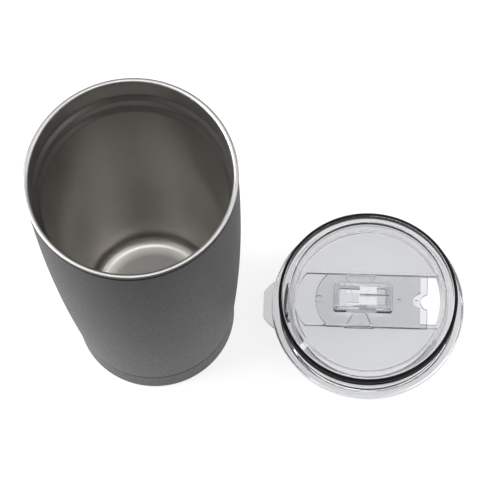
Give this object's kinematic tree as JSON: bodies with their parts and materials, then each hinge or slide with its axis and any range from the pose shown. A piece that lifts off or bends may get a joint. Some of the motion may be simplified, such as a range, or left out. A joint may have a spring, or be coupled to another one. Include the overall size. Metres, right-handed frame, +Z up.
{
  "type": "insulated tumbler with lid",
  "caption": "Double-wall steel tumbler with a charcoal coating and a bright lip; its clear press-in lid with a slider and a black gasket lies upside down beside it.",
  "frame": {"origin": "centre of the tumbler's flat base, on the surface that it stands on", "axes": "+Z up along the tumbler's axis, out of its mouth; +X along the lid's slider, from the lid's thumb tab towards its drinking opening"},
  "size_m": [0.1884, 0.0937, 0.1715],
  "materials": {
    "coating": "matte",
    "bare_steel": "satin",
    "foil": "satin",
    "solder_glass": "gloss",
    "getter": "matte",
    "clear_plastic": "gloss",
    "silicone": "satin"
  },
  "bodies": {
    "tumbler": {"outer_shell": "coating", "base_cap": "coating", "liner": "bare_steel", "reflector_foil": "foil", "vacuum_bottom": "bare_steel", "seal_pellet": "solder_glass", "getter_pill": "getter", "getter_holder": "bare_steel"},
    "lid": {"lid_body": "clear_plastic", "lid_gasket": "silicone"},
    "slider": {"slider_plate": "clear_plastic", "slider_retainer": "clear_plastic"}
  },
  "joints": [
    {"name": "lid_lift", "type": "slide", "parent": "tumbler", "child": "lid", "axis": [0, 0, 1], "range_m": [0, 0.18]},
    {"name": "slider_travel", "type": "slide", "parent": "lid", "child": "slider", "axis": [1, 0, 0], "range_m": [-0.009, 0.0036]}
  ]
}
